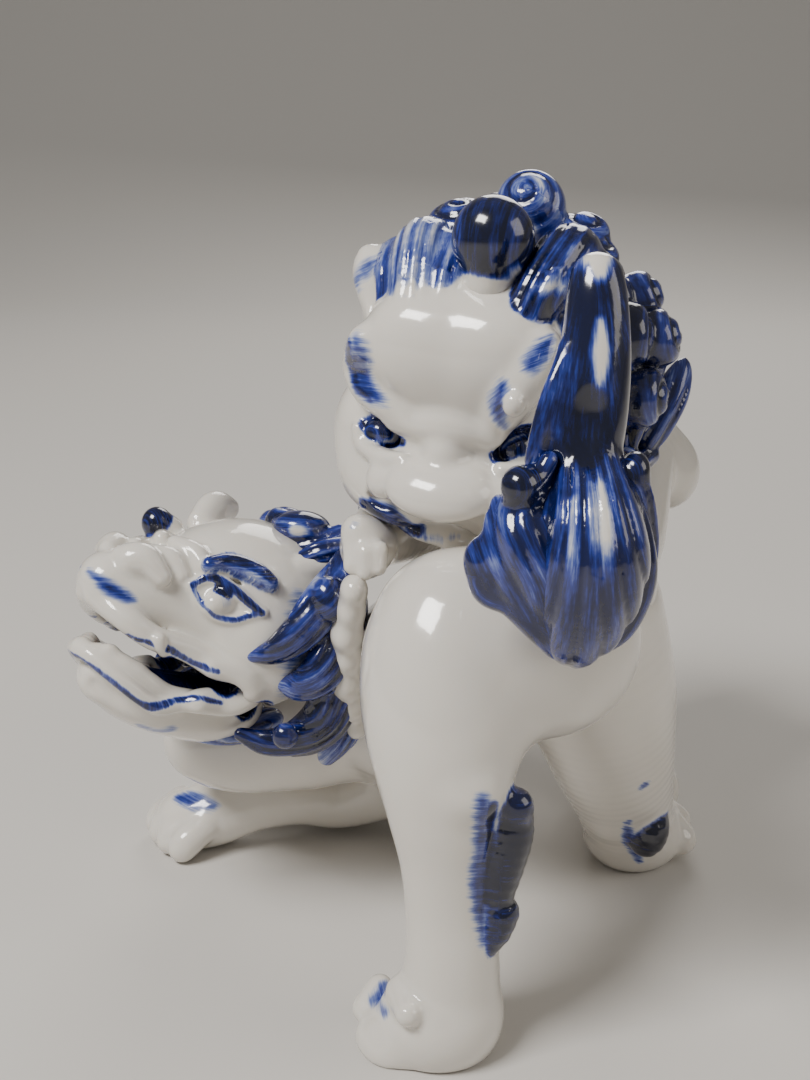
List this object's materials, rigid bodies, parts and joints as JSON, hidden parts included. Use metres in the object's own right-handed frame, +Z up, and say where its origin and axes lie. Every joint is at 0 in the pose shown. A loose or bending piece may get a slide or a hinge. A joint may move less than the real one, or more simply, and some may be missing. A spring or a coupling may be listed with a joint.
{
  "type": "lion_dog_pair_figurine",
  "caption": "Blue-and-white glazed porcelain figure group of a pair of playing foo dogs, the upper one resting its chin and forepaws on the lower one's raised rump",
  "frame": {"origin": "on the table, under the middle of the group's bounding box", "axes": "+Z up; -Y is the side that the lower lion's raised rump and tail face; +X to the right from there"},
  "size_m": [0.1222, 0.1408, 0.1444],
  "materials": {
    "white_glaze": "clear glossy glaze over white porcelain",
    "cobalt_streaked_glaze": "clear glossy glaze over streaked cobalt brushwork on white porcelain",
    "cobalt_glaze": "clear glossy glaze over solid cobalt",
    "tongue_glaze": "clear glossy glaze over white porcelain, thin cobalt wash"
  },
  "bodies": {
    "root": {"lower_lion_beard": "cobalt_streaked_glaze", "lower_lion_head": "white_glaze", "lower_lion_left_brow": "cobalt_streaked_glaze", "lower_lion_left_ear": "white_glaze", "lower_lion_left_elbow_tuft": "cobalt_streaked_glaze", "lower_lion_left_eyeball": "cobalt_glaze", "lower_lion_left_foreleg": "white_glaze", "lower_lion_left_hind_leg": "white_glaze", "lower_lion_left_hock_tuft": "cobalt_streaked_glaze", "lower_lion_lower_jaw": "white_glaze", "lower_lion_lower_teeth": "white_glaze", "lower_lion_mane_crown": "cobalt_streaked_glaze", "lower_lion_mane_left_cheek": "cobalt_streaked_glaze", "lower_lion_mane_right_cheek": "cobalt_streaked_glaze", "lower_lion_right_brow": "cobalt_streaked_glaze", "lower_lion_right_ear": "white_glaze", "lower_lion_right_elbow_tuft": "cobalt_streaked_glaze", "lower_lion_right_eyeball": "cobalt_glaze", "lower_lion_right_foreleg": "white_glaze", "lower_lion_right_hind_leg": "white_glaze", "lower_lion_right_hock_tuft": "cobalt_streaked_glaze", "lower_lion_spine_ridge": "cobalt_streaked_glaze", "lower_lion_tail_left_curls": "cobalt_streaked_glaze", "lower_lion_tail_plume": "cobalt_streaked_glaze", "lower_lion_tail_right_curls": "cobalt_streaked_glaze", "lower_lion_tongue": "tongue_glaze", "lower_lion_torso": "white_glaze", "lower_lion_upper_fangs": "white_glaze", "upper_lion_beard": "cobalt_streaked_glaze", "upper_lion_forelock": "cobalt_streaked_glaze", "upper_lion_head": "white_glaze", "upper_lion_left_brow": "cobalt_streaked_glaze", "upper_lion_left_ear": "white_glaze", "upper_lion_left_elbow_tuft": "cobalt_streaked_glaze", "upper_lion_left_eyeball": "cobalt_glaze", "upper_lion_left_foreleg": "white_glaze", "upper_lion_left_hind_leg": "white_glaze", "upper_lion_left_hock_tuft": "cobalt_streaked_glaze", "upper_lion_lower_jaw": "white_glaze", "upper_lion_mane_crown": "cobalt_streaked_glaze", "upper_lion_mane_left_side": "cobalt_streaked_glaze", "upper_lion_mane_nape": "cobalt_streaked_glaze", "upper_lion_mane_right_side": "cobalt_streaked_glaze", "upper_lion_right_brow": "cobalt_streaked_glaze", "upper_lion_right_ear": "white_glaze", "upper_lion_right_elbow_tuft": "cobalt_streaked_glaze", "upper_lion_right_eyeball": "cobalt_glaze", "upper_lion_right_foreleg": "white_glaze", "upper_lion_right_hind_leg": "white_glaze", "upper_lion_right_hock_tuft": "cobalt_streaked_glaze", "upper_lion_spine_ridge": "cobalt_streaked_glaze", "upper_lion_tail_left_curls": "cobalt_streaked_glaze", "upper_lion_tail_plume": "cobalt_streaked_glaze", "upper_lion_tail_right_curls": "cobalt_streaked_glaze", "upper_lion_torso": "white_glaze"}
  },
  "joints": []
}
